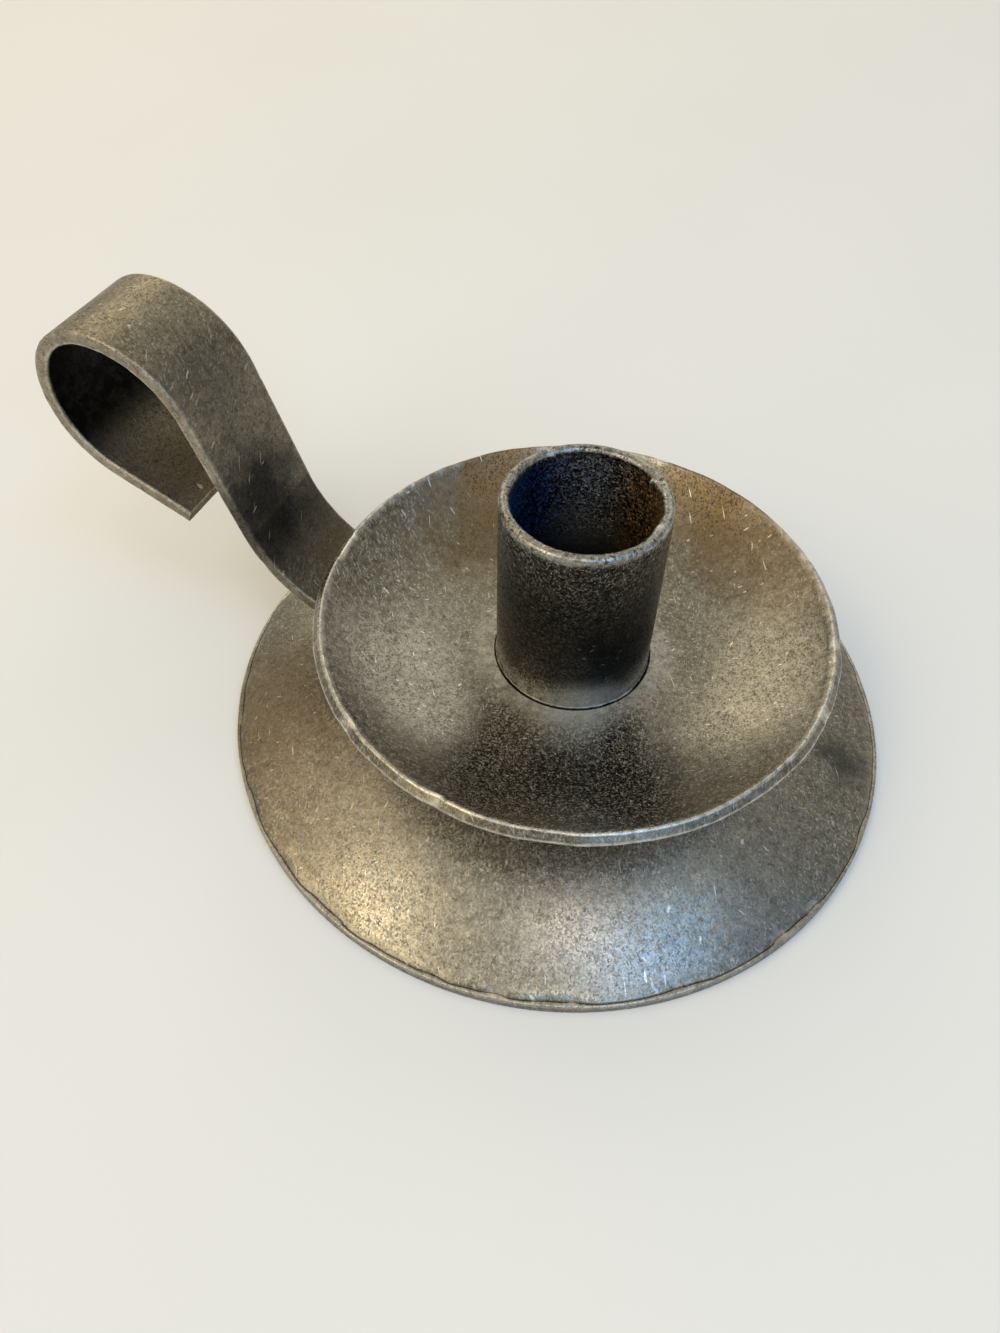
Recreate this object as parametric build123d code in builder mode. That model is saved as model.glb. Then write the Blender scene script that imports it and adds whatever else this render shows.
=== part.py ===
from build123d import *
import os

# A chamberstick: an upturned dished disc for a base, a second dished disc above it as a drip pan,
# a short tube for the candle, and one steel strap clamped between the discs and curled into a
# finger loop. Millimetres, +Z up. The origin lies on the socket's axis, in the plane that the
# base stands on, and the handle runs out along -X.

# Sheet of both discs
sheet = 2.0

# Base: flat crown, domed flank, plumb rim
base_radius = 56.8
base_rise = 10.75
base_edge = 1.8
base_crown_radius = 16.0
base_offset = 2.4
base_rounding = 0.25

# Drip pan: flat floor, curved flank, square-cut lip
pan_lip_radius = 41.0
pan_depth = 10.0
pan_floor_radius = 14.5
pan_rounding = 0.4

# Candle socket: a length of tube with a rolled-over mouth
socket_diameter = 25.4
socket_wall = 1.65
socket_length = 33.1
socket_rounding = 0.75

# Handle: tongue, upward bend, neck, shoulder, crook, return and tail of one strap
strap_width = 18.3
strap_thickness = 2.4
strap_rounding = 0.4
tongue_reach = 10.0
bend_start = 35.0
bend_radius = 20.5
neck_angle = 70.7
neck_length = 21.8
shoulder_radius = 17.3
shoulder_angle = 72.6
crook_radius = 12.75
crook_angle = 61.4
return_radius = 15.2
return_angle = 94.0
tail_length = 15.1

# Centre rivet, closed under the base
rivet_radius = 3.0
rivet_clearance = 0.05
rivet_head_radius = 5.5
rivet_head_height = 1.0
rivet_tail_radius = 5.8
rivet_tail_height = 2.2

# Filler metal: a braze ring in the socket's foot and two beads beside the tongue
braze_leg = 1.2
braze_toe = 0.9
bead_leg = 1.7
bead_length = 16.0

# How far a construction runs past what trims it
overrun = 2.0

# Levels of the stack, from the table up
tongue_level = base_rise + strap_thickness
floor_level = tongue_level + sheet
socket_radius = socket_diameter / 2
bore_radius = socket_radius - socket_wall
rivet_hole_radius = rivet_radius + rivet_clearance
base_axis = Axis((-base_offset, 0, 0), (0, 0, 1))

os.makedirs("parts", exist_ok=True)


# Base dish: its upper line is thickened downwards, then trimmed by the table and the plumb rim
with BuildPart() as base_dish:
    with BuildSketch(Plane.XZ.shift_origin((-base_offset, 0, 0))):
        with BuildLine():
            crown = Line((0, base_rise), (base_crown_radius, base_rise))
            flank = TangentArc(crown @ 1, (base_radius, base_edge), tangent=crown % 1)
            Line(flank @ 1, flank @ 1 + (flank % 1) * overrun)
            offset(amount=sheet, side=Side.RIGHT)
        make_face()
        Rectangle(base_radius, base_rise, align=(Align.MIN, Align.MIN), mode=Mode.INTERSECT)
    revolve(axis=base_axis)
    with Locations((0, 0, base_rise)):
        Hole(rivet_hole_radius)
    rim = base_dish.faces().filter_by(GeomType.CYLINDER).sort_by(SortBy.AREA)[-1]
    fillet(rim.edges().filter_by(GeomType.CIRCLE), base_rounding)
base_dish.part.label = "base_dish"
export_step(base_dish.part, "parts/base_dish.step")


# Handle strap: the outer line of the curl is thickened to its inner side and given the strap's width
with BuildPart() as handle_strap:
    with BuildSketch(Plane.XZ):
        with BuildLine():
            tongue = Line((tongue_reach, tongue_level), (-bend_start, tongue_level))
            bend = JernArc(tongue @ 1, tongue % 1, bend_radius, -neck_angle)
            neck = Line(bend @ 1, bend @ 1 + (bend % 1) * neck_length)
            shoulder = JernArc(neck @ 1, neck % 1, shoulder_radius, shoulder_angle)
            crook = JernArc(shoulder @ 1, shoulder % 1, crook_radius, crook_angle)
            back = JernArc(crook @ 1, crook % 1, return_radius, return_angle)
            Line(back @ 1, back @ 1 + (back % 1) * tail_length)
            offset(amount=strap_thickness, side=Side.LEFT)
        make_face()
    extrude(amount=strap_width / 2, both=True)
    long_edges = handle_strap.faces().filter_by(Axis.Y).edges()
    fillet(long_edges, strap_rounding)
    with Locations((0, 0, tongue_level)):
        Hole(rivet_hole_radius)
handle_strap.part.label = "handle_strap"
export_step(handle_strap.part, "parts/handle_strap.step")


# Drip pan: its upper line is thickened downwards, which leaves the lip cut square to the sheet
with BuildPart() as drip_pan:
    with BuildSketch(Plane.XZ):
        with BuildLine():
            floor = Line((rivet_hole_radius, floor_level), (pan_floor_radius, floor_level))
            TangentArc(floor @ 1, (pan_lip_radius, floor_level + pan_depth), tangent=floor % 1)
            offset(amount=sheet, side=Side.RIGHT)
        make_face()
    revolve(axis=Axis.Z)
    lip = drip_pan.faces().filter_by(GeomType.CONE)[0]
    fillet(lip.edges().filter_by(GeomType.CIRCLE), pan_rounding)
drip_pan.part.label = "drip_pan"
export_step(drip_pan.part, "parts/drip_pan.step")


# Candle socket: a tube with a rounded mouth, bevelled inside its foot for the braze
with BuildPart() as candle_socket:
    with BuildSketch(Plane.XY.offset(floor_level)):
        Circle(socket_radius)
        Circle(bore_radius, mode=Mode.SUBTRACT)
    extrude(amount=socket_length)
    mouth = candle_socket.faces().sort_by(Axis.Z)[-1]
    fillet(mouth.edges(), socket_rounding)
    foot = candle_socket.faces().sort_by(Axis.Z)[0]
    chamfer(foot.edges().sort_by(SortBy.RADIUS)[0], braze_leg)
candle_socket.part.label = "candle_socket"
export_step(candle_socket.part, "parts/candle_socket.step")


# Centre rivet: low head in the socket, shank through pan, tongue and base, domed tail below
rivet_bottom = base_rise - sheet
with BuildPart() as centre_rivet:
    with BuildSketch(Plane.XZ):
        with BuildLine():
            head = TangentArc(
                (0, floor_level + rivet_head_height),
                (rivet_head_radius, floor_level),
                tangent=(1, 0),
            )
            tail = TangentArc(
                (0, rivet_bottom - rivet_tail_height),
                (rivet_tail_radius, rivet_bottom),
                tangent=(1, 0),
            )
            Polyline(
                head @ 1,
                (rivet_radius, floor_level),
                (rivet_radius, rivet_bottom),
                tail @ 1,
            )
            Line(tail @ 0, head @ 0)
        make_face()
    revolve(axis=Axis.Z)
centre_rivet.part.label = "centre_rivet"
export_step(centre_rivet.part, "parts/centre_rivet.step")


# Braze ring: fills the bevel in the socket's foot and runs out over the pan floor in a hollow fillet
with BuildPart() as braze_ring:
    with BuildSketch(Plane.XZ):
        with BuildLine():
            bevel = Line(
                (bore_radius, floor_level + braze_leg),
                (bore_radius + braze_leg, floor_level),
            )
            seat = Line(bevel @ 1, (bore_radius - braze_toe, floor_level))
            TangentArc(seat @ 1, bevel @ 0, tangent=(1, 0))
        make_face()
    revolve(axis=Axis.Z)
braze_ring.part.label = "braze_ring"
export_step(braze_ring.part, "parts/braze_ring.step")


# Weld beads: a fillet along each side of the tongue, on the base's flat crown
with BuildPart() as weld_beads:
    with BuildSketch(Plane.YZ.offset(-base_offset)):
        with BuildLine():
            side = Line(
                (strap_width / 2, base_rise + bead_leg),
                (strap_width / 2, base_rise),
            )
            land = Line(side @ 1, (strap_width / 2 + bead_leg, base_rise))
            Line(land @ 1, side @ 0)
        make_face()
    extrude(amount=bead_length / 2, both=True)
    mirror(about=Plane.XZ)
weld_beads.part.label = "weld_beads"
export_step(weld_beads.part, "parts/weld_beads.step")
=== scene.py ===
import math

import bpy
from mathutils import Matrix, Vector


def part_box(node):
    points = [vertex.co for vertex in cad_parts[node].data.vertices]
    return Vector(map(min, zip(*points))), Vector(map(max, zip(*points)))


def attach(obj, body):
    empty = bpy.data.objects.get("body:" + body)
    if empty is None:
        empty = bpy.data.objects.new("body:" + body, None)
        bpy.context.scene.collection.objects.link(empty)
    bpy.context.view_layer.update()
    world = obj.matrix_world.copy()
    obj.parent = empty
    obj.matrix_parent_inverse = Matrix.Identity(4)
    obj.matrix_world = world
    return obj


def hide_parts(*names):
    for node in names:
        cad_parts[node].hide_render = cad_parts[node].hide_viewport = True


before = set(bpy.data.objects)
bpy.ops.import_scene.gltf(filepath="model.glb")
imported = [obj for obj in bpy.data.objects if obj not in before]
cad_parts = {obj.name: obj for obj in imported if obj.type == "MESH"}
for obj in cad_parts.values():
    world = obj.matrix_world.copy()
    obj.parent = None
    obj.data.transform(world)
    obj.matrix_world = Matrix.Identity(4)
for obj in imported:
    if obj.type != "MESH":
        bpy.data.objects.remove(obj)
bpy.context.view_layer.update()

# The chamberstick's metal, dressed over its solids. Metres, +Z up, origin on the socket's axis
# where the base stands, handle along -X.

# Sizes that the boxes of the solids give
base_low, base_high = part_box("base_dish")
tube_low, tube_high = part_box("candle_socket")
strap_low, strap_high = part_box("handle_strap")

base_round = (base_high[0] - base_low[0]) / 2
base_centre = (base_high[0] + base_low[0]) / 2
base_rise = base_high[2]
tube_radius = tube_high[0]
floor_level = tube_low[2]
tube_top = tube_high[2]
strap_width = strap_high[1] - strap_low[1]
tongue_reach = strap_high[0]

# Stock and shape of the two discs and the tube
sheet = 0.002
rivet_hole_radius = 0.00305
base_crown_radius = 0.016
base_edge = 0.0018
pan_lip_radius = 0.041
pan_depth = 0.010
pan_floor_radius = 0.0145
tube_wall = 0.00165
tube_bevel = 0.0012

# The strap's path along its outer face, from the tongue to the tail, angles in degrees
strap_thickness = 0.0024
bend_start = 0.035
bend_radius = 0.0205
neck_angle = 70.7
neck_length = 0.0218
shoulder_radius = 0.0173
shoulder_angle = 72.6
crook_radius = 0.01275
crook_angle = 61.4
return_radius = 0.0152
return_angle = 94.0
tail_length = 0.0151

# Rounding of worn edges, and the fine bead round the tube's foot
rim_round = 0.0003
lip_round = 0.0004
mouth_round = 0.00075
strap_round = 0.0004
foot_bead = 0.00022

# Hand work on the discs and the tube: out of round, wavy, torn and nicked along the edges
base_trim = 0.00045
base_radius = base_round - base_trim
base_hand_shift = (base_centre, -0.0004, 0)
base_oval_share = 0.0125
base_oval_angle = math.radians(141)
pan_wave, wave_size = 0.0004, 0.03
rim_tear, lip_tear, mouth_tear = 0.0006, 0.00022, 0.00025
rim_nick, lip_nick, mouth_nick = 0.0002, 0.00015, 0.00012
tear_size, tear_run, nick_size = 0.0014, 0.008, 0.0035
mouth_spur, spur_width = 0.0007, 0.06
spur_angle = math.radians(47.7)
joint_gap = 0.00012

# Hand work on the strap, and how far its faces lie inside the solid's
strap_dent, strap_dent_size = 0.00006, 0.007
strap_nick, strap_nick_size = 0.00009, 0.0016
cut_edge = 0.0003
cut_stops = (1.2, 1.0, 0.1)
skin = 0.00002

# Wear and shade along the profiles: 1 is bare metal, -1 is black, which is scale in some places and painted
# shade and dark reflections in others
rim_wear, rim_dull = 0.4, -0.3
lip_wear, lip_dull = 0.78, -0.15
# The pan's underside is made pale: painted light that lifts the dark mirror image of it on the base under the
# pan's lip
under_painted_light, side_bare = 0.5, 0.3
foot_ring, ring_wear = 0.0055, 0.45
# The tube's wall: a pale band at the foot is a painted reflection of the pan's pale ring, the lower wall
# above it is a painted dark reflection of the pan, and the wall gets lighter towards the mouth
wall_foot_reflection, wall_dark_reflection, wall_top_lightening = 0.8, 1.43, 0.6
wall_dark_full, wall_top_start = 0.22, 0.6
mouth_wear, bore_edge_wear = 0.7, 0.5
# Painted shade in the bore, from none to black between these shares of its depth
bore_shade_span = (0.32, 0.72)
inner_edge_wear, outer_edge_wear = 1.0, 0.55
cut_edge_wear, cut_dull = 0.7, 0.3

# Darkening on the strap: on its inner face by the path's heading in degrees, and a painted dark reflection
# outside its bend
neck_dark, loop_dark, tail_clear, tip_clear = 0.6, 0.4, 0.55, 0.3
loop_headings, tail_headings = (110, 180), (300, 342)
tip_reach = 0.005
bend_dark, bend_dark_height = 0.6, 0.6

# The groove under the burr of the base's rim. Each row is how many insets it lies from the rim,
# what share of the depth it has, how ragged it is and its wear mark, which is black at the groove's bottom.
burr_inset = 0.00045
burr_depth = 0.00022
burr_clear = 3.6 * burr_inset
burr_groove = (
    (1.3, 0.0, 1.0, 0.0),
    (1.15, 0.15, 1.0, 0.0),
    (1.0, 1.0, 1.0, -1.0),
    (0.85, 0.45, 1.0, -0.4),
    (0.72, 0.2, 0.8, rim_wear),
)

# How ragged the other edges are, as a share of their tear
rim_ragged, mouth_ragged = 0.12, 0.4
bead_ragged = (1, 1, 1, 0.5, 0.5, 0, 0)

# Fineness of the meshes
around = 420
arc_step = math.radians(2.0)
path_step = 0.0006
section_step = 6 * strap_round
flank_steps, wall_steps = 60, 40
lip_steps, mouth_steps, corner_steps = 8, 10, 6
crown_steps, rim_steps, base_under_steps = 6, 2, 5
floor_steps, ring_steps, pan_under_steps = 18, 4, 6
seam_distance = 1e-6
crisp_angle = math.radians(50)

# Places of rows on the profiles, as shares of the sizes that they go with
under_flat_share = 0.9
rim_band = (0.7, 0.2)
lip_land = (0.27, 0.5, 0.73)
lip_clear, edge_clear = 2.5, 1.6
wall_top_clear, wall_foot_clear = 2, 3

# Where a noise starts to count as a tear, a nick or a chip, and where it counts in full
tear_span, nick_span, chip_span = (0.38, 0.66), (0.66, 0.74), (0.5, 0.75)
slow_tear_share, fine_tear_share = 0.7, 0.3


# Profiles

def arc(centre, radius, start, end, count):
    """Points on an arc in the profile plane, angles in degrees from +X."""
    points = []
    for i in range(count + 1):
        a = math.radians(start + (end - start) * i / count)
        points.append((centre[0] + radius * math.cos(a), centre[1] + radius * math.sin(a)))
    return points


def straight(start, end, count):
    """Points on a line, without its last one."""
    a, b = Vector(start), Vector(end)
    return [tuple(a.lerp(b, i / count)) for i in range(count)]


def rounded(corner, before, after, radius, count=corner_steps):
    """Points that round a profile's corner, given a point before it and a point after it."""
    c = Vector(corner)
    u = (Vector(before) - c).normalized()
    w = (Vector(after) - c).normalized()
    half = u.angle(w) / 2
    reach = radius / math.tan(half)
    centre = c + (u + w).normalized() * (radius / math.sin(half))
    a, b = c + u * reach - centre, c + w * reach - centre
    turn = a.angle_signed(b)
    return [tuple(centre + Matrix.Rotation(-turn * i / count, 2) @ a) for i in range(count + 1)]


def eased(value, low, high):
    """Rises smoothly from 0 at low to 1 at high."""
    t = min(1.0, max(0.0, (value - low) / (high - low)))
    return t * t * (3 - 2 * t)


def marked(points, **marks):
    """Profile points with the marks that a tree reads, such as wear. A mark that isn't given is 0."""
    return [(p, marks) for p in points]


def mark_points(mesh, rows, keys):
    """Writes each mark of the rows as a named attribute of the mesh's points."""
    for key in keys:
        layer = mesh.attributes.new(key, "FLOAT", "POINT")
        for i, (_, marks) in enumerate(rows):
            layer.data[i].value = marks.get(key, 0.0)


profile_marks = ("drift", "worn", "temper", "ragged", "sway", "spur")


def profile_mesh(name, rows):
    """A polyline through a profile's rows, in the XZ plane."""
    mesh = bpy.data.meshes.new(name)
    mesh.from_pydata([(r, 0, z) for (r, z), _ in rows], [(i, i + 1) for i in range(len(rows) - 1)], [])
    mark_points(mesh, rows, profile_marks)
    return mesh


def base_rows():
    """The base's section: crown, domed flank, plumb rim with a ragged burr, rest face, underside."""
    run, drop = base_radius - base_crown_radius, base_rise - base_edge
    bow = (run * run + drop * drop) / (2 * drop)
    tilt = math.degrees(math.asin(run / bow))
    centre = (base_crown_radius, base_rise - bow)
    inner = bow - sheet
    rest_tilt = math.degrees(math.acos((bow - base_rise) / inner))
    top = arc(centre, bow, 90, 90 - tilt, flank_steps)
    under = arc(centre, inner, 90 - rest_tilt, 90, flank_steps)
    rim_top, rim_low, rest = top[-1], (base_radius, 0.0), under[0]
    seat = 2 * rivet_hole_radius
    hole_top, hole_low = (rivet_hole_radius, base_rise), (rivet_hole_radius, base_rise - sheet)
    under_seat = (seat, hole_low[1])
    under_crown = (under_flat_share * base_crown_radius, hole_low[1])

    def on_flank(insets, depth=0.0):
        s = run - insets * burr_inset
        return (base_crown_radius + s, centre[1] + math.sqrt(bow * bow - s * s) - depth * burr_depth)

    rows = marked([hole_top])
    rows += marked(straight((seat, base_rise), top[0], crown_steps), drift=1)
    rows += marked([p for p in top if p[0] < base_radius - burr_clear], drift=1)
    for insets, depth, ragged, worn in burr_groove:
        rows += marked([on_flank(insets, depth)], drift=1, ragged=ragged, worn=worn)
    rim_edge = rounded(rim_top, on_flank(1), rim_low, rim_round)
    rows += marked(rim_edge, drift=1, ragged=rim_ragged, worn=rim_wear)
    band = [(base_radius, share * base_edge) for share in rim_band]
    rows += marked(straight(*band, rim_steps), drift=1, worn=rim_dull)
    rows += marked(rounded(rim_low, rim_top, rest, rim_round), drift=1, worn=rim_dull)
    rows += marked(under, drift=1)
    rows += marked(straight(under_crown, under_seat, base_under_steps), drift=1)
    rows += marked([under_seat], drift=1)
    rows += marked([hole_low, hole_top])
    return rows


def pan_rows():
    """The pan's section: floor, curved flank, square-cut lip, underside."""
    run = pan_lip_radius - pan_floor_radius
    bow = (run * run + pan_depth * pan_depth) / (2 * pan_depth)
    tilt = math.degrees(math.asin(run / bow))
    centre = (pan_floor_radius, floor_level + bow)
    top = arc(centre, bow, -90, -90 + tilt, flank_steps)
    under = arc(centre, bow + sheet, -90 + tilt, -90, flank_steps)
    lip_in, lip_out = top[-1], under[0]
    hole_top, hole_low = (rivet_hole_radius, floor_level), (rivet_hole_radius, floor_level - sheet)
    under_floor = (under_flat_share * pan_floor_radius, hole_low[1])

    def clear_of_lip(points):
        reach = lip_clear * lip_round
        return [p for p in points if min(math.dist(p, lip_in), math.dist(p, lip_out)) > reach]

    joint_in, joint_out = (tube_radius, floor_level), (tube_radius + foot_bead + joint_gap, floor_level)
    rows = marked(straight(hole_top, joint_in, floor_steps))
    rows += marked([joint_in, joint_out], worn=-1)
    rows += marked(straight((joint_out[0] + joint_gap, floor_level), top[0], ring_steps))
    rows += marked(clear_of_lip(top))
    land = [tuple(Vector(lip_in).lerp(Vector(lip_out), t)) for t in lip_land]
    rows += marked(rounded(lip_in, top[-2], lip_out, lip_round, lip_steps), worn=lip_wear, ragged=1)
    rows += marked(land, worn=lip_dull, ragged=1)
    rows += marked(rounded(lip_out, lip_in, under[1], lip_round, lip_steps), worn=lip_wear, ragged=1)
    # The underside, made pale as painted light
    rows += marked(clear_of_lip(under), worn=under_painted_light)
    rows += marked(straight(under_floor, hole_low, pan_under_steps))
    rows += marked([hole_low, hole_top])
    ring_out = tube_radius + foot_ring

    def finished(p, marks):
        sway = max(0.0, p[0] - pan_floor_radius) / run
        on_top = p[1] > floor_level - sheet / 2
        ring = 0.0 if "worn" in marks or not on_top else eased(ring_out - p[0], 0.0, foot_ring)
        return (p, dict({"worn": ring_wear * ring}, **marks, sway=sway, temper=ring))

    return [finished(p, marks) for p, marks in rows]


def tube_rows():
    """The socket's section: bead, outside wall, rolled mouth, bore, bevel and foot."""
    bore = tube_radius - tube_wall
    foot_in, bevel_top = (bore + tube_bevel, floor_level), (bore, floor_level + tube_bevel)
    top_out, top_in = (tube_radius, tube_top), (bore, tube_top)
    wall_top = tube_top - wall_top_clear * mouth_round
    wall_low = floor_level + wall_foot_clear * foot_bead
    rows = []
    bead = arc((tube_radius, floor_level), foot_bead, 0, 90, len(bead_ragged) - 1)
    for p, ragged in zip(bead, bead_ragged):
        rows += marked([p], worn=1, ragged=ragged)
    wall_end = (tube_radius, wall_top)
    wall = straight((tube_radius, wall_low), wall_end, wall_steps) + [wall_end]
    # Painted reflections on the outside wall: pale at the foot, dark above it, lighter towards the mouth
    for p in wall:
        t = (p[1] - wall_low) / (wall_top - wall_low)
        darkened = wall_dark_reflection * eased(t, 0.0, wall_dark_full)
        rows += marked([p], worn=wall_foot_reflection - darkened + wall_top_lightening * eased(t, wall_top_start, 1.0))
    mouth_out = rounded(top_out, wall[0], top_in, mouth_round, mouth_steps)
    mouth_in = rounded(top_in, top_out, bevel_top, mouth_round, mouth_steps)
    rows += marked(mouth_out, worn=mouth_wear, ragged=mouth_ragged)
    rows += marked(mouth_in, worn=bore_edge_wear, ragged=1, spur=1)
    # The bore: painted shade that deepens downwards, and the mark for its painted reflection colours
    for p in straight((bore, wall_top), bevel_top, wall_steps):
        depth = (wall_top - p[1]) / (wall_top - bevel_top[1])
        rows += marked([p], temper=1, worn=-eased(depth, *bore_shade_span))
    rows += marked([bevel_top, foot_in]) + rows[:1]
    height = tube_top - floor_level
    return [(p, dict(marks, sway=((p[1] - floor_level) / height) ** 3)) for p, marks in reversed(rows)]


def strap_path():
    """The strap's centre line from the tongue's end to the tail's, as (x, z) points with headings."""
    x, z, heading = tongue_reach, base_rise + strap_thickness, 180.0
    points = []

    def run(length):
        nonlocal x, z
        a = math.radians(heading)
        end = (x + length * math.cos(a), z + length * math.sin(a))
        for p in straight((x, z), end, round(length / path_step)):
            points.append((*p, heading))
        x, z = end

    def turn(radius, angle):
        nonlocal x, z, heading
        side = math.copysign(1, angle)
        a = math.radians(heading)
        cx, cz = x - side * radius * math.sin(a), z + side * radius * math.cos(a)
        count = round(math.radians(abs(angle)) / arc_step)
        for i in range(count + 1):
            h = heading + angle * i / count
            b = math.radians(h)
            x, z = cx + side * radius * math.sin(b), cz - side * radius * math.cos(b)
            if i < count:
                points.append((x, z, h))
        heading += angle

    run(tongue_reach + bend_start)
    turn(bend_radius, -neck_angle)
    run(neck_length)
    turn(shoulder_radius, shoulder_angle)
    turn(crook_radius, crook_angle)
    turn(return_radius, return_angle)
    run(tail_length)
    points.append((x, z, heading))
    half = strap_thickness / 2
    return [
        ((px - half * math.sin(math.radians(h)), pz + half * math.cos(math.radians(h))), h)
        for px, pz, h in points
    ]


def strap_section():
    """The strap's cross-section: a flat bar with eased edges, wear on the edges."""
    x, y = strap_width / 2 - skin, strap_thickness / 2 - skin
    corners = [(x, -y), (x, y), (-x, y), (-x, -y)]
    rows = []
    for i, c in enumerate(corners):
        before, after = Vector(corners[i - 1]), Vector(corners[(i + 1) % 4])
        edge = inner_edge_wear if c[1] > 0 else outer_edge_wear
        rows += marked(rounded(c, before, after, strap_round), edge=edge)
        span = after - Vector(c)
        inset = edge_clear * strap_round / span.length
        count = max(2, round(span.length / section_step))
        stops = [inset + (1 - 2 * inset) * k / count for k in range(count + 1)]
        flat = [tuple(Vector(c) + span * t) for t in stops]
        rows += marked(flat, inner=float(i == 1), side=0.0 if i % 2 else side_bare)
    return rows


# Node helpers

class Graph:
    """Adds nodes to a tree, sets their inputs and links them."""

    def __init__(self, tree):
        self.tree = tree

    def add(self, kind, inputs=None, **settings):
        n = self.tree.nodes.new(kind)
        for key, value in settings.items():
            setattr(n, key, value)
        for key, value in (inputs or {}).items():
            self.feed(n.inputs[key], value)
        return n

    def feed(self, socket, value):
        if isinstance(value, bpy.types.NodeSocket):
            self.tree.links.new(value, socket)
        elif isinstance(value, bpy.types.Node):
            self.tree.links.new(next(s for s in value.outputs if s.enabled), socket)
        else:
            socket.default_value = value

    def math(self, operation, *values, clamp=False):
        n = self.add("ShaderNodeMath", operation=operation, use_clamp=clamp)
        for socket, value in zip(n.inputs, values):
            self.feed(socket, value)
        return n.outputs[0]

    def total(self, *values):
        added = values[0]
        for value in values[1:]:
            added = self.math("ADD", added, value)
        return added

    def times(self, *values):
        product = values[0]
        for value in values[1:]:
            product = self.math("MULTIPLY", product, value)
        return product

    def step(self, value, low, high):
        n = self.add("ShaderNodeMapRange", {"Value": value, "From Min": low, "From Max": high},
                     interpolation_type="SMOOTHSTEP")
        return n.outputs[0]


def tree_with(name, inputs):
    """A geometry tree with a geometry input, the named inputs and a geometry output."""
    tree = bpy.data.node_groups.new(name, "GeometryNodeTree")
    tree.is_modifier = True
    tree.interface.new_socket("Geometry", in_out="INPUT", socket_type="NodeSocketGeometry")
    for key, kind in inputs.items():
        tree.interface.new_socket(key, in_out="INPUT", socket_type="NodeSocket" + kind)
    tree.interface.new_socket("Geometry", in_out="OUTPUT", socket_type="NodeSocketGeometry")
    return tree


def finish_tree(g, geometry, material):
    real = g.add("GeometryNodeRealizeInstances", {0: geometry})
    dressed = g.add("GeometryNodeSetMaterial", {"Geometry": real, "Material": material})
    g.add("NodeGroupOutput", {0: dressed})


def named_field(g, key):
    return g.add("GeometryNodeInputNamedAttribute", {"Name": key}, data_type="FLOAT").outputs[0]


def stored(g, geometry, key, value):
    return g.add("GeometryNodeStoreNamedAttribute", {"Geometry": geometry, "Name": key, "Value": value},
                 data_type="FLOAT", domain="POINT")


# Geometry trees

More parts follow.
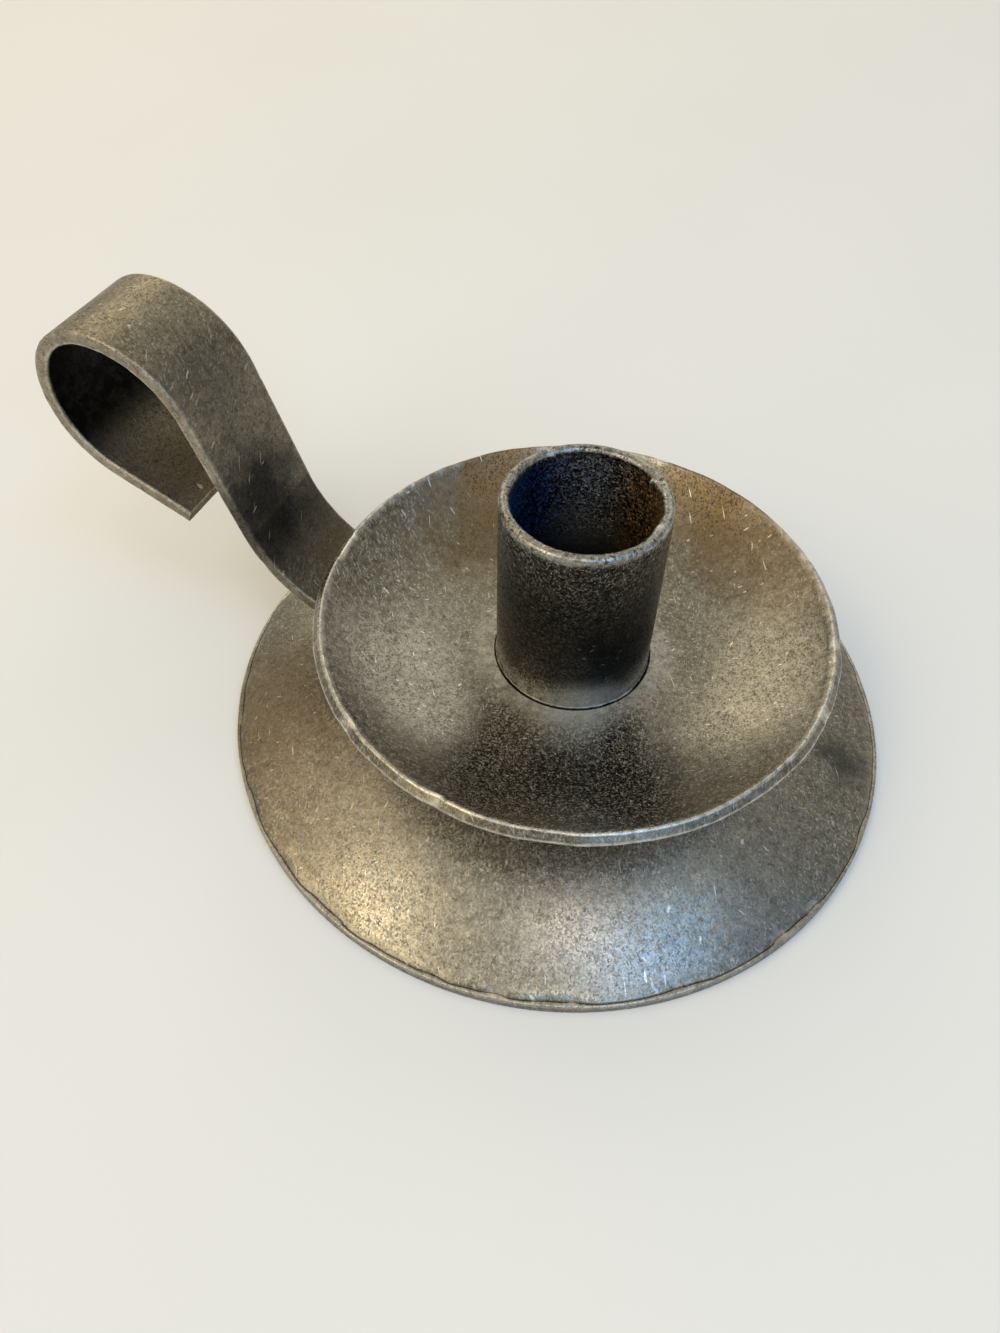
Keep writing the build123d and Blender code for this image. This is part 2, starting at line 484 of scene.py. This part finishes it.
def turned_tree():
    """Turns a profile round the Z axis: out of round, wavy in the sheet, with ragged and nicked edges."""
    tree = tree_with("turned metal", {
        "Segments": "Int",
        "Offset": "Vector",
        "Oval Share": "Float",
        "Oval Angle": "Float",
        "Rim Radius": "Float",
        "Wave": "Float",
        "Wave Size": "Float",
        "Burr": "Float",
        "Burr Size": "Float",
        "Burr Run": "Float",
        "Nick": "Float",
        "Nick Size": "Float",
        "Spur": "Float",
        "Spur Angle": "Float",
        "Spur Width": "Float",
        "Seed": "Float",
        "Material": "Material",
    })
    g = Graph(tree)
    given = g.add("NodeGroupInput").outputs
    profile = given["Geometry"]
    count = g.add("GeometryNodeAttributeDomainSize", {0: profile}, component="MESH").outputs["Point Count"]
    columns = g.math("ADD", given["Segments"], 1.0)
    grid = g.add("GeometryNodeMeshGrid", {"Vertices X": count, "Vertices Y": columns})
    index = g.add("GeometryNodeInputIndex")
    row = g.math("FLOOR", g.math("DIVIDE", g.math("ADD", index, 0.5), columns))
    column = g.math("SUBTRACT", index, g.times(row, columns))
    angle = g.times(g.math("DIVIDE", column, given["Segments"]), math.tau)

    def sampled(value, kind):
        return g.add("GeometryNodeSampleIndex", {"Geometry": profile, "Value": value, "Index": row},
                     data_type=kind, domain="POINT").outputs[0]

    place = g.add("ShaderNodeSeparateXYZ", {0: sampled(g.add("GeometryNodeInputPosition"), "FLOAT_VECTOR")})
    reach, height = place.outputs["X"], place.outputs["Z"]
    drift, worn, temper, ragged, sway, spur = (sampled(named_field(g, key), "FLOAT") for key in profile_marks)
    cosine, sine = g.math("COSINE", angle), g.math("SINE", angle)

    def noise(radius, size, detail):
        spot = g.add("ShaderNodeCombineXYZ", {"X": g.times(radius, cosine), "Y": g.times(radius, sine)})
        scale = g.math("DIVIDE", 1.0, size)
        n = g.add("ShaderNodeTexNoise", {
            "Vector": spot, "W": given["Seed"], "Scale": scale, "Detail": detail}, noise_dimensions="4D")
        return n.outputs["Fac"]

    swing = g.math("SUBTRACT", noise(reach, given["Wave Size"], detail=1.0), 0.5)
    wave = g.times(swing, given["Wave"], sway)
    slow = g.step(noise(given["Rim Radius"], given["Burr Run"], detail=1.0), *tear_span)
    fine = noise(given["Rim Radius"], given["Burr Size"], detail=3.0)
    tear = g.math("ADD", g.times(slow, slow_tear_share), g.times(fine, fine_tear_share))
    dent = g.step(noise(given["Rim Radius"], given["Nick Size"], detail=0.0), *nick_span)
    bite = g.times(g.math("ADD", g.times(tear, given["Burr"]), g.times(dent, given["Nick"])), ragged)
    aside = g.math("ABSOLUTE", g.math("SUBTRACT", angle, given["Spur Angle"]))
    tongue = g.math("SUBTRACT", 1.0, g.step(aside, 0.0, given["Spur Width"]))
    poke = g.times(tongue, given["Spur"], spur)
    oval = g.math("COSINE", g.times(g.math("SUBTRACT", angle, given["Oval Angle"]), 2.0))
    swell = g.math("ADD", g.times(oval, given["Oval Share"], drift), 1.0)
    radius = g.times(g.math("SUBTRACT", g.math("SUBTRACT", reach, bite), poke), swell)
    turned = g.add("ShaderNodeCombineXYZ", {
        "X": g.times(radius, cosine),
        "Y": g.times(radius, sine),
        "Z": g.math("ADD", height, wave),
    })
    shift = g.add("ShaderNodeVectorMath", {0: given["Offset"], "Scale": drift}, operation="SCALE")
    spot = g.add("ShaderNodeVectorMath", {0: turned, 1: shift}, operation="ADD")
    shaped = g.add("GeometryNodeSetPosition", {"Geometry": grid.outputs["Mesh"], "Position": spot})
    dressed = stored(g, shaped, "worn", g.math("ADD", worn, g.times(dent, ragged)))
    dressed = stored(g, dressed, "temper", temper)
    merged = g.add("GeometryNodeMergeByDistance", {"Geometry": dressed, "Distance": seam_distance})
    smooth = g.add("GeometryNodeSetShadeSmooth", {"Geometry": merged})
    finish_tree(g, smooth, given["Material"])
    return tree


strap_marks = ("section", "end", "edge", "inner", "side", "inner_scale", "outer_dark")


def strap_tree():
    """Sweeps a bar's section along a path. The seed holds both lines, told apart by a mark."""
    tree = tree_with("bent strap", {
        "Dent": "Float",
        "Dent Size": "Float",
        "Nick": "Float",
        "Nick Size": "Float",
        "Cut Dull": "Float",
        "Material": "Material",
    })
    g = Graph(tree)
    given = g.add("NodeGroupInput").outputs
    is_section = g.math("GREATER_THAN", named_field(g, "section"), 0.5)
    lines = g.add("GeometryNodeSeparateGeometry", {"Geometry": given["Geometry"], "Selection": is_section},
                  domain="POINT").outputs

    def curve_with(line, *keys):
        for key in strap_marks:
            if key not in keys:
                line = g.add("GeometryNodeRemoveAttribute", {"Geometry": line, "Name": key})
        return g.add("GeometryNodeMeshToCurve", {"Mesh": line})

    bar = curve_with(lines["Selection"], "edge", "inner", "side")
    path = curve_with(lines["Inverted"], "end", "inner_scale", "outer_dark")
    closed = g.add("GeometryNodeSetSplineCyclic", {"Geometry": bar, "Cyclic": True})
    swept = g.add("GeometryNodeCurveToMesh", {"Curve": path, "Profile Curve": closed, "Fill Caps": True})
    edge, end = named_field(g, "edge"), named_field(g, "end")
    bare = g.math("MAXIMUM", edge, named_field(g, "side"))
    inner = named_field(g, "inner")
    outer = g.math("SUBTRACT", 1.0, inner)
    # Darker on the inner face, and a painted dark reflection on the outer face at the bend
    inside = g.times(inner, named_field(g, "inner_scale"))
    outside = g.times(outer, named_field(g, "outer_dark"))
    scale = g.math("ADD", inside, outside)
    along = g.times(g.math("SUBTRACT", bare, scale), g.math("SUBTRACT", 1.0, end))
    dressed = stored(g, swept, "worn", g.math("SUBTRACT", along, g.times(end, given["Cut Dull"])))
    place = g.add("GeometryNodeInputPosition")

    def noise(size, detail):
        return g.add("ShaderNodeTexNoise", {
            "Vector": place, "Scale": g.math("DIVIDE", 1.0, size), "Detail": detail}).outputs["Fac"]

    hollow = g.times(noise(given["Dent Size"], detail=1.0), given["Dent"])
    chip = g.times(g.step(noise(given["Nick Size"], detail=2.0), *chip_span), edge, given["Nick"])
    depth = g.times(g.math("ADD", hollow, chip), -1.0)
    normal = g.add("GeometryNodeInputNormal")
    inward = g.add("ShaderNodeVectorMath", {0: normal, "Scale": depth}, operation="SCALE")
    dented = g.add("GeometryNodeSetPosition", {"Geometry": dressed, "Offset": inward})
    smooth = g.add("GeometryNodeSetShadeSmooth", {"Geometry": dented})
    sharp = g.math("GREATER_THAN", g.add("GeometryNodeInputMeshEdgeAngle").outputs[0], crisp_angle)
    crisp = g.add("GeometryNodeSetShadeSmooth", {
        "Geometry": smooth, "Selection": sharp, "Shade Smooth": False}, domain="EDGE")
    finish_tree(g, crisp, given["Material"])
    return tree


def grown(name, seed_mesh, tree, values):
    """Runs a tree on a seed mesh and keeps the plain mesh that it makes."""
    piece = bpy.data.objects.new(name, seed_mesh)
    bpy.context.scene.collection.objects.link(piece)
    build = piece.modifiers.new("build", "NODES")
    build.node_group = tree
    for item in tree.interface.items_tree:
        if item.in_out == "INPUT" and item.name in values:
            build[item.identifier] = values[item.name]
    ready = piece.evaluated_get(bpy.context.evaluated_depsgraph_get())
    mesh = bpy.data.meshes.new_from_object(ready)
    piece.modifiers.clear()
    piece.data = mesh
    mesh.name = name
    return piece


# Metal

# Sizes of the marks in the steel's finish, and the directions of its scratches
grain_size = 0.00026
hair_size, hair_stretch, hair_turns = 0.00012, (1, 6, 3), (0.2, 0.95, 1.75, 2.5)
scratch_size, scratch_stretch, scratch_turns = 0.00012, (1, 16, 5), (0.6, 1.7, 2.7)
stroke_lean = (0.7, 0.4, 1.0)
cloud_size, mottle_size, pit_size, patch_size = 0.016, 0.0013, 0.0008, 0.0016
stain_edge_size, gloss_drift_size = 0.004, 0.005
bump_size, bump_depth, bump_strength, bump_roughness = 0.0003, 0.00006, 0.3, 0.7
seed_shares = (1.0, 0.7, 0.3)

# Where each noise starts to show, and where it shows in full
cloud_span, pit_span, patch_span = (0.3, 0.7), (0.58, 0.68), (0.35, 0.6)
hair_span, scratch_span = (0.94, 0.99), (0.9975, 0.999)
stain_core, stain_reach = 0.2, 1.2

# How much each mark counts in the colour
cloud_share, mottle_share = 0.45, 0.55
chafe_even, chafe_mottled = 0.4, 0.6
black_even, black_patchy = 0.95, 0.05
black_hides_hairs = 0.7
chafe_cover, scratch_cover = 0.8, 0.8
pit_shade = 0.25

# What each mark adds to the roughness
grain_matt, grain_matt_power = 0.5, 3.0
hair_matt, black_matt, chafe_matt, stain_matt, drift_matt = 0.25, 0.1, 0.1, 0.25, 0.08

# Colours of black scale and painted shade, of painted reflection in the bore, and of stains. Grey and brown
# reflection colours go from pale grains to dark ones.
black_scale_and_shade = (0.005, 0.005, 0.005)
painted_blue_reflection = (0.035, 0.105, 0.32)
painted_grey_reflection = ((0.62, 0.66, 0.7), (0.3, 0.32, 0.34))
painted_brown_reflection = ((0.6, 0.4, 0.17), (0.3, 0.2, 0.09))
# Soot black, which also paints dark reflections
soot_and_dark_reflection = (0.008, 0.009, 0.011)
# Rust brown, which also paints shade on the pan's back, and a brown that paints only that shade
rust_and_shade_brown = (0.16, 0.11, 0.05)
painted_shade_brown = (0.2, 0.118, 0.045)
# A pale colour that paints highlights near the tube's foot
painted_highlight_pale = (0.46, 0.455, 0.42)

# Colours of painted reflection lie across the bore: blue on one side, grey between, brown on the other
reflection_angle = math.radians(23.5)
blue_reflection_span = (-0.6 * tube_radius, 0.1 * tube_radius)
brown_reflection_span = (0.2 * tube_radius, 0.7 * tube_radius)


def steel(name, dark, light, bare, pitting=0.4, seed=0.0, stains=(), reflection_across=None, gloss=0.18,
          flecks=0.4, grain_share=0.44, grain_power=1.0, dulled=0.0):
    """Tumbled raw steel: glossy ground, matt grains, hair scratches, clouds, pits, scale and painted shade,
    bare edges.

    Each stain is its centre, its radius, its strength and its colour. A direction may be given
    along which colours of painted reflection change from blue to brown across a bore."""
    material = bpy.data.materials.new(name)
    material.use_nodes = True
    material.node_tree.nodes.clear()
    g = Graph(material.node_tree)
    spot = g.add("ShaderNodeTexCoord").outputs["Object"]
    shift = tuple(share * seed for share in seed_shares)

    def placed(stretch=(1, 1, 1), turn=(0, 0, 0)):
        return g.add("ShaderNodeMapping", {
            "Vector": spot, "Location": shift, "Scale": stretch, "Rotation": turn}, vector_type="TEXTURE")

    def noise(size, detail, roughness=0.5):
        return g.add("ShaderNodeTexNoise", {
            "Vector": placed(), "Scale": 1 / size, "Detail": detail, "Roughness": roughness}).outputs["Fac"]

    def grains(size, *shape):
        cells = g.add("ShaderNodeTexVoronoi", {"Vector": placed(*shape), "Scale": 1 / size})
        return g.add("ShaderNodeSeparateColor", {"Color": cells.outputs["Color"]}).outputs

    def strokes(size, stretch, turns, span):
        """Short straight marks that lie in several directions."""
        top = 0.0
        for t in turns:
            lean = tuple(share * t for share in stroke_lean)
            top = g.math("MAXIMUM", top, grains(size, stretch, lean)[0])
        return g.step(top, *span)

    def mixed(factor, a, b):
        a, b = ((*c, 1) if isinstance(c, tuple) else c for c in (a, b))
        return g.add("ShaderNodeMix", {"Factor": factor, 6: a, 7: b}, data_type="RGBA").outputs[2]

    def mark(key):
        return g.add("ShaderNodeAttribute", attribute_name=key).outputs["Fac"]

    def measured(operation, point):
        return g.add("ShaderNodeVectorMath", {0: spot, 1: point}, operation=operation).outputs["Value"]

    grain = grains(grain_size)
    cloud = g.step(noise(cloud_size, detail=3), *cloud_span)
    mottle = g.step(noise(mottle_size, detail=4), *cloud_span)
    pits = g.step(noise(pit_size, detail=4), *pit_span)
    worn, temper = mark("worn"), mark("temper")
    chafed = g.times(g.math("MAXIMUM", worn, 0.0), g.total(chafe_even, g.times(mottle, chafe_mottled)))
    patches = g.step(noise(patch_size, detail=3), *patch_span)
    patchy = g.total(black_even, g.times(patches, black_patchy))
    # The black mask: scale in some places, painted shade and painted dark reflections in others
    scale = g.math("MULTIPLY", g.math("MAXIMUM", g.times(worn, -1.0), 0.0), patchy, clamp=True)
    clear = g.math("SUBTRACT", 1.0, g.times(scale, black_hides_hairs))
    hairs = g.times(strokes(hair_size, hair_stretch, hair_turns, hair_span), clear)
    scratches = g.times(strokes(scratch_size, scratch_stretch, scratch_turns, scratch_span),
                        g.math("SUBTRACT", 1.0, scale))

    clouds = g.times(g.total(g.times(cloud, cloud_share), g.times(mottle, mottle_share)), 1 - grain_share)
    bright = g.times(g.math("POWER", grain[0], grain_power), grain_share)
    tone = mixed(g.total(clouds, bright), dark, light)
    tone = mixed(g.times(hairs, flecks), tone, bare)
    tone = mixed(g.math("MULTIPLY", chafed, chafe_cover, clamp=True), tone, bare)
    tone = mixed(g.times(pits, pitting), tone, tuple(pit_shade * c for c in dark))
    # Painted reflection colours across the bore: blue on one side, grey between, brown on the other
    if reflection_across:
        across = measured("DOT_PRODUCT", reflection_across)
        blue = g.math("SUBTRACT", 1.0, g.step(across, *blue_reflection_span))
        brown = g.step(across, *brown_reflection_span)
        dry = mixed(brown, mixed(grain[0], *painted_grey_reflection), mixed(grain[0], *painted_brown_reflection))
        tone = mixed(temper, tone, mixed(blue, dry, painted_blue_reflection))
    stained = 0.0
    for centre, radius, strength, colour in stains:
        ragged = g.math("SUBTRACT", noise(stain_edge_size, detail=4), 0.5)
        far = g.total(measured("DISTANCE", centre), g.times(ragged, radius))
        near = g.math("SUBTRACT", 1.0, g.step(far, stain_core * radius, stain_reach * radius))
        cover = g.times(near, strength)
        tone = mixed(cover, tone, colour)
        stained = g.math("MAXIMUM", stained, cover)
    tone = mixed(scale, tone, black_scale_and_shade)
    tone = mixed(g.times(scratches, scratch_cover), tone, bare)

    drift = g.times(g.math("SUBTRACT", noise(gloss_drift_size, detail=3), 0.5), drift_matt)
    matt = g.total(
        gloss,
        g.times(g.math("POWER", grain[1], grain_matt_power), grain_matt),
        g.times(hairs, hair_matt),
        g.times(scale, black_matt),
        g.times(chafed, chafe_matt),
        g.times(temper, dulled),
        g.times(stained, stain_matt),
        drift,
    )
    bump = g.add("ShaderNodeBump", {
        "Strength": bump_strength, "Distance": bump_depth,
        "Height": noise(bump_size, detail=4, roughness=bump_roughness)})
    surface = g.add("ShaderNodeBsdfPrincipled", {
        "Base Color": tone, "Roughness": matt, "Metallic": 1.0, "Normal": bump})
    g.add("ShaderNodeOutputMaterial", {"Surface": surface})
    return material


base_steel = steel(
    "base steel", dark=(0.14, 0.128, 0.104), light=(0.41, 0.377, 0.315), bare=(0.68, 0.64, 0.57),
    pitting=0.3, seed=1.3, gloss=0.22,
    stains=(
        # A painted dark reflection on the base's right, then a darker zone in front of it
        ((0.0475, 0.0045, 0.0045), 0.006, 0.6, soot_and_dark_reflection),
        ((0.042, -0.023, 0.0047), 0.015, 0.28, soot_and_dark_reflection),
        ((-0.046, -0.024, 0.005), 0.018, 0.45, rust_and_shade_brown)))
pan_steel = steel(
    "pan steel", dark=(0.12, 0.109, 0.087), light=(0.36, 0.326, 0.268), bare=(0.74, 0.72, 0.66),
    seed=4.1, grain_share=0.28, dulled=0.2,
    stains=(
        ((-0.024, 0.018, 0.019), 0.016, 0.7, rust_and_shade_brown),
        # Painted shade that hides mirrored lamps on the pan's back: this stain and the next
        ((-0.0265, 0.029, 0.0242), 0.014, 0.84, painted_shade_brown),
        ((0.011, 0.038, 0.024), 0.017, 0.78, rust_and_shade_brown),
        ((0.021, 0.027, 0.0205), 0.013, 0.35, rust_and_shade_brown),
        # A painted highlight on the pan in front of the tube's foot
        ((0.0055, -0.0145, 0.0152), 0.009, 0.55, painted_highlight_pale)))
tube_steel = steel(
    "tube steel", dark=(0.011, 0.0105, 0.009), light=(0.28, 0.267, 0.232), bare=(0.58, 0.56, 0.52),
    pitting=0.8, seed=7.9, flecks=0.5, grain_share=0.8, grain_power=3.4, dulled=0.05,
    stains=(
        # A painted dark reflection on the tube's lower wall
        ((0.0098, -0.0081, 0.0265), 0.01, 0.9, soot_and_dark_reflection),
        # A painted highlight at the front of the tube's foot
        ((0.0062, -0.0112, 0.0158), 0.007, 0.6, painted_highlight_pale)),
    # Direction across the bore for its painted reflection colours
    reflection_across=(math.cos(reflection_angle), math.sin(reflection_angle), 0))
strap_steel = steel(
    "strap steel", dark=(0.108, 0.094, 0.068), light=(0.31, 0.268, 0.198), bare=(0.6, 0.55, 0.46),
    seed=11.2, gloss=0.3,
    stains=(
        # A painted dark reflection low on the neck
        ((-0.0555, -0.003, 0.03), 0.012, 0.8, soot_and_dark_reflection),
        ((-0.0636, 0.0, 0.0514), 0.011, 0.24, soot_and_dark_reflection),
        ((-0.047, 0.003, 0.0175), 0.006, 0.5, rust_and_shade_brown),
        ((-0.0715, 0.0, 0.028), 0.012, 0.45, rust_and_shade_brown)))
rivet_steel = steel(
    "rivet steel", dark=(0.2, 0.19, 0.17), light=(0.48, 0.45, 0.4), bare=(0.62, 0.59, 0.53), seed=15.6)
braze_brass = steel(
    "braze metal", dark=(0.25, 0.17, 0.06), light=(0.45, 0.33, 0.13), bare=(0.6, 0.48, 0.26), seed=19.4)


# Pieces

turned_metal = turned_tree()


def dress(piece, node):
    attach(piece, "root")
    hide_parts(node)


def turned_piece(name, rows, material, values):
    return grown(name, profile_mesh(name + "_profile", rows), turned_metal, {
        "Segments": around, "Burr Size": tear_size, "Burr Run": tear_run, "Nick Size": nick_size,
        "Wave Size": wave_size, "Spur Width": spur_width, "Material": material, **values})


def base_piece():
    return turned_piece("base_dish_metal", base_rows(), base_steel, {
        "Offset": base_hand_shift, "Oval Share": base_oval_share, "Oval Angle": base_oval_angle,
        "Rim Radius": base_radius, "Burr": rim_tear, "Nick": rim_nick, "Seed": 2.0})


def pan_piece():
    return turned_piece("drip_pan_metal", pan_rows(), pan_steel, {
        "Rim Radius": pan_lip_radius, "Burr": lip_tear, "Nick": lip_nick, "Wave": pan_wave, "Seed": 5.0})


def tube_piece():
    return turned_piece("candle_socket_metal", tube_rows(), tube_steel, {
        "Rim Radius": tube_radius, "Burr": mouth_tear, "Nick": mouth_nick, "Seed": 8.0,
        "Spur": mouth_spur, "Spur Angle": spur_angle})


def strap_piece():
    """The strap, darker on the inner face of its neck and loop, and with a painted dark reflection outside
    its bend beside the pan.
    """
    path = strap_path()
    bend_end = bend_start + bend_radius
    rows = []
    tip = Vector(path[-1][0])
    for (x, z), heading in path:
        height = (z - base_rise) / bend_radius
        off_middle = abs(height - bend_dark_height) / bend_dark_height
        at_bend = bend_start < -x < bend_end
        in_loop, in_tail = eased(heading, *loop_headings), eased(heading, *tail_headings)
        near_tip = 1 - eased((Vector((x, z)) - tip).length, 0.0, tip_reach)
        rows.append(((x, z), {
            "inner_scale": neck_dark + loop_dark * in_loop - tail_clear * in_tail - tip_clear * near_tip,
            "outer_dark": bend_dark * max(0.0, 1 - off_middle) if at_bend else 0.0,
        }))
    back = (Vector(path[-2][0]) - tip).normalized()
    before_cut, *cut_rows = (tuple(tip + stop * cut_edge * back) for stop in cut_stops)
    rows[-1] = (before_cut, rows[-1][1])
    rows += marked(cut_rows, inner_scale=-cut_edge_wear)
    rows += marked([tuple(tip)], end=1.0)
    section = [(p, dict(marks, section=1.0)) for p, marks in strap_section()]
    lines = bpy.data.meshes.new("strap_lines")
    first = len(rows)
    lines.from_pydata(
        [(x, 0, z) for (x, z), _ in rows] + [(x, y, 0) for (x, y), _ in section],
        [(i, i + 1) for i in range(first + len(section) - 1) if i != first - 1],
        [],
    )
    mark_points(lines, rows + section, strap_marks)
    return grown("handle_strap_metal", lines, strap_tree(), {
        "Dent": strap_dent, "Dent Size": strap_dent_size, "Nick": strap_nick, "Nick Size": strap_nick_size,
        "Cut Dull": cut_dull, "Material": strap_steel})


dress(base_piece(), "base_dish")
dress(pan_piece(), "drip_pan")
dress(tube_piece(), "candle_socket")
dress(strap_piece(), "handle_strap")

joint_metals = {"centre_rivet": rivet_steel, "weld_beads": rivet_steel, "braze_ring": braze_brass}
for node, material in joint_metals.items():
    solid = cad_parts[node]
    solid.data.materials.clear()
    solid.data.materials.append(material)


# Floor, light and camera

floor_half = 1.5
floor_tones = ((0.74, 0.735, 0.72, 1), (0.78, 0.775, 0.765, 1))
floor_noise_scale, floor_noise_detail = 9.0, 2.0
floor_matt = 0.9

# The studio's light at the horizon, at its dimmest height and overhead
horizon_light = (0.52, 0.5, 0.43, 1)
dimmest_light, dimmest_height = (0.34, 0.33, 0.27, 1), 0.6
overhead_light = (0.84, 0.81, 0.68, 1)

# Each lamp's azimuth and elevation in degrees, its size, its power and its colour
lamp_aim = Vector((0, 0, 0.02))
lamps = {
    "warm key": (220, 57, 0.3, 0.78, (1.0, 0.86, 0.6)),
    "front high": (240, 48, 0.3, 0.47, (1.0, 0.85, 0.66)),
    "warm front": (235, 35, 0.8, 2.5, (1.0, 0.85, 0.53)),
    "warm side": (186, 42, 0.9, 0.8, (1.0, 0.58, 0.22)),
    "top key": (306, 73, 0.18, 0.4, (1.0, 0.93, 0.92)),
    "cool key": (354, 62, 0.24, 0.42, (0.05, 0.42, 1.0)),
    "cool high": (330, 60, 0.3, 0.85, (0.22, 0.5, 1.0)),
    "front": (292, 50, 0.3, 0.62, (1.0, 0.93, 0.82)),
    "cool front": (315, 35, 0.6, 1.8, (0.32, 0.6, 1.0)),
    "cool side": (350, 34, 0.9, 0.9, (0.1, 0.4, 1.0)),
    "back": (90, 32, 0.6, 0.93, (1.0, 0.99, 0.94)),
    "warm back": (135, 32, 0.6, 1.35, (1.0, 0.9, 0.69)),
}

# The camera, at the photograph's viewing angle, with lengths of the image in its pixels
camera_aim = Vector((-0.0143, 0.0026, 0.0))
camera_azimuth, camera_elevation = math.radians(23.52), math.radians(50.99)
camera_roll = math.radians(0.69)
camera_distance = 0.18483
focal_px, tall_px = 1000, 1333
sensor_mm = 36
nearest_seen = 0.005


def floor():
    corners = [(-floor_half, -floor_half, 0), (floor_half, -floor_half, 0),
               (floor_half, floor_half, 0), (-floor_half, floor_half, 0)]
    mesh = bpy.data.meshes.new("floor")
    mesh.from_pydata(corners, [], [(0, 1, 2, 3)])
    ground = bpy.data.objects.new("floor", mesh)
    bpy.context.scene.collection.objects.link(ground)
    material = bpy.data.materials.new("pale floor")
    material.use_nodes = True
    g = Graph(material.node_tree)
    surface = material.node_tree.nodes["Principled BSDF"]
    spot = g.add("ShaderNodeTexCoord").outputs["Object"]
    soft = g.add("ShaderNodeTexNoise", {
        "Vector": spot, "Scale": floor_noise_scale, "Detail": floor_noise_detail}).outputs["Fac"]
    tone = g.add("ShaderNodeMix", {"Factor": soft, 6: floor_tones[0], 7: floor_tones[1]}, data_type="RGBA")
    g.feed(surface.inputs["Base Color"], tone.outputs[2])
    surface.inputs["Roughness"].default_value = floor_matt
    mesh.materials.append(material)


def room():
    world = bpy.data.worlds.new("studio")
    world.use_nodes = True
    g = Graph(world.node_tree)
    background = world.node_tree.nodes["Background"]
    up = g.add("ShaderNodeSeparateXYZ", {0: g.add("ShaderNodeTexCoord").outputs["Generated"]}).outputs["Z"]
    ramp = g.add("ShaderNodeValToRGB", {"Fac": up})
    stops = ramp.color_ramp.elements
    stops[0].color = horizon_light
    stops[1].color = overhead_light
    stops.new(dimmest_height).color = dimmest_light
    g.feed(background.inputs["Color"], ramp.outputs["Color"])
    background.inputs["Strength"].default_value = 1.0
    bpy.context.scene.world = world


def lamp(name, azimuth, elevation, size, power, colour):
    """A soft round lamp, aimed at the middle of the piece from a metre away."""
    a, e = math.radians(azimuth), math.radians(elevation)
    towards = Vector((math.cos(a) * math.cos(e), math.sin(a) * math.cos(e), math.sin(e)))
    light = bpy.data.lights.new(name, "AREA")
    light.shape = "DISK"
    light.size = size
    light.energy = power
    light.color = colour
    body = bpy.data.objects.new(name, light)
    body.location = lamp_aim + towards
    body.rotation_euler = towards.to_track_quat("Z", "Y").to_euler()
    bpy.context.scene.collection.objects.link(body)


def camera():
    azimuth, elevation, roll = camera_azimuth, camera_elevation, camera_roll
    ahead = Vector((
        -math.sin(azimuth) * math.cos(elevation),
        math.cos(azimuth) * math.cos(elevation),
        -math.sin(elevation),
    ))
    level = Vector((math.cos(azimuth), math.sin(azimuth), 0))
    upright = level.cross(ahead)
    right = level * math.cos(roll) + upright * math.sin(roll)
    up = upright * math.cos(roll) - level * math.sin(roll)
    lens = bpy.data.cameras.new("camera")
    lens.sensor_fit = "VERTICAL"
    lens.sensor_height = sensor_mm
    lens.lens = lens.sensor_height * focal_px / tall_px
    lens.clip_start = nearest_seen
    view = bpy.data.objects.new("camera", lens)
    facing = Matrix((right, up, -ahead)).transposed().to_4x4()
    view.matrix_world = Matrix.Translation(camera_aim - ahead * camera_distance) @ facing
    bpy.context.scene.collection.objects.link(view)
    bpy.context.scene.camera = view


floor()
room()
for name, settings in lamps.items():
    lamp(name, *settings)
camera()

bpy.context.scene.view_settings.view_transform = "Standard"
